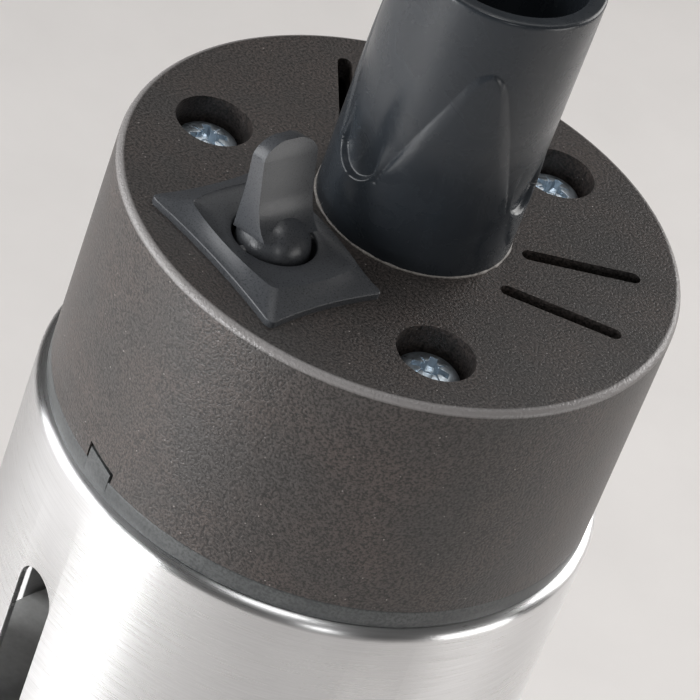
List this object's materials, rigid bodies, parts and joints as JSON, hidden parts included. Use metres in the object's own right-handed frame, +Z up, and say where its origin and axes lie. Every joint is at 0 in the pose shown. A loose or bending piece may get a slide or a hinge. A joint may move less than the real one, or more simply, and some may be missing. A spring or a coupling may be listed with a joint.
{
  "type": "sous vide circulator",
  "caption": "Stick-shaped water circulator: slotted steel sleeve round a heating coil and pump, dark plastic head with a toggle switch, vents and a hollow neck tube.",
  "frame": {"origin": "centre of the footprint, on the surface that the foot ring stands on", "axes": "+Z up along the long axis, towards the neck tube; the toggle switch is on the -Y side of the axis, +X is the pump outlet side"},
  "size_m": [0.0724, 0.0724, 0.2916],
  "materials": {
    "neck_plastic": "gloss, lightly scuffed",
    "cap_plastic": "fine spark-eroded texture",
    "switch_plastic": "satin",
    "seal_rubber": "satin",
    "sleeve_steel": "brushed around",
    "zinc_screw": "zinc plated",
    "steel_plain": "satin",
    "element_steel": "satin, heat tinted",
    "wet_plastic": "satin",
    "nylon_natural": "satin",
    "brass_contact": "satin",
    "copper_winding": "enamelled wire",
    "graphite": "sooty",
    "ferrite": "satin",
    "lamination": "stacked sheet",
    "board_laminate": "solder mask",
    "component_black": "satin",
    "component_blue": "satin",
    "transformer_tape": "tape",
    "aluminium_plain": "extruded",
    "wire_red": "vinyl",
    "wire_white": "vinyl",
    "foot_rubber": "satin"
  },
  "bodies": {
    "housing": {"base_screws": "zinc_screw", "board_screws": "zinc_screw", "board_transformer": "transformer_tape", "bulkhead": "wet_plastic", "bulkhead_oring": "foot_rubber", "cable_gland": "wet_plastic", "can_oring": "foot_rubber", "can_screws": "zinc_screw", "cap_screws": "zinc_screw", "cap_seal_ring": "seal_rubber", "coil_plate": "wet_plastic", "control_board": "board_laminate", "cover_screws": "zinc_screw", "end_cap": "cap_plastic", "foot_ring": "foot_rubber", "gland_grommet": "foot_rubber", "gland_nut": "wet_plastic", "heater_coil": "element_steel", "heater_nuts": "brass_contact", "level_probes": "steel_plain", "microcontroller": "component_black", "motor_bearings": "brass_contact", "motor_brushes": "graphite", "motor_can": "steel_plain", "motor_case": "steel_plain", "motor_end_bell": "nylon_natural", "motor_magnets": "ferrite", "neck_locknut": "wet_plastic", "neck_tube": "neck_plastic", "plate_screws": "zinc_screw", "power_relay": "component_blue", "probe_grommet": "foot_rubber", "pump_base": "wet_plastic", "pump_bushing": "nylon_natural", "pump_cover": "wet_plastic", "radio_module": "steel_plain", "shaft_seal": "foot_rubber", "sleeve": "sleeve_steel", "smoothing_capacitors": "component_black", "switch_bezel": "switch_plastic", "switch_housing": "component_black", "switch_pivot_pin": "steel_plain", "switch_terminals": "brass_contact", "switch_wire_red": "wire_red", "switch_wire_white": "wire_white", "temperature_probe": "steel_plain", "terminal_block": "nylon_natural", "triac_heatsink": "aluminium_plain"},
    "toggle": {"switch_lever": "switch_plastic", "switch_spring": "steel_plain", "switch_plunger": "nylon_natural"},
    "rocker": {"switch_rocker": "brass_contact"},
    "rotor": {"motor_armature": "lamination", "armature_windings": "copper_winding", "commutator": "brass_contact", "motor_shaft": "steel_plain", "shaft_coupling": "nylon_natural", "pump_shaft": "steel_plain", "impeller": "nylon_natural"}
  },
  "joints": [
    {"name": "toggle_tilt", "type": "hinge", "parent": "housing", "child": "toggle", "pos_m": [0, -0.0206, 0.2556], "axis": [0, 1, 0], "range_deg": [0, 30]},
    {"name": "rocker_tilt", "type": "hinge", "parent": "housing", "child": "rocker", "pos_m": [0, -0.0206, 0.2418], "axis": [0, 1, 0], "range_deg": [-13.5, 0]},
    {"name": "rotor_spin", "type": "hinge", "parent": "housing", "child": "rotor", "pos_m": [0, 0, 0.1], "axis": [0, 0, 1], "continuous": true}
  ],
  "couplings": [
    {"joint": "rocker_tilt", "follows": "toggle_tilt", "ratio": -0.45}
  ]
}
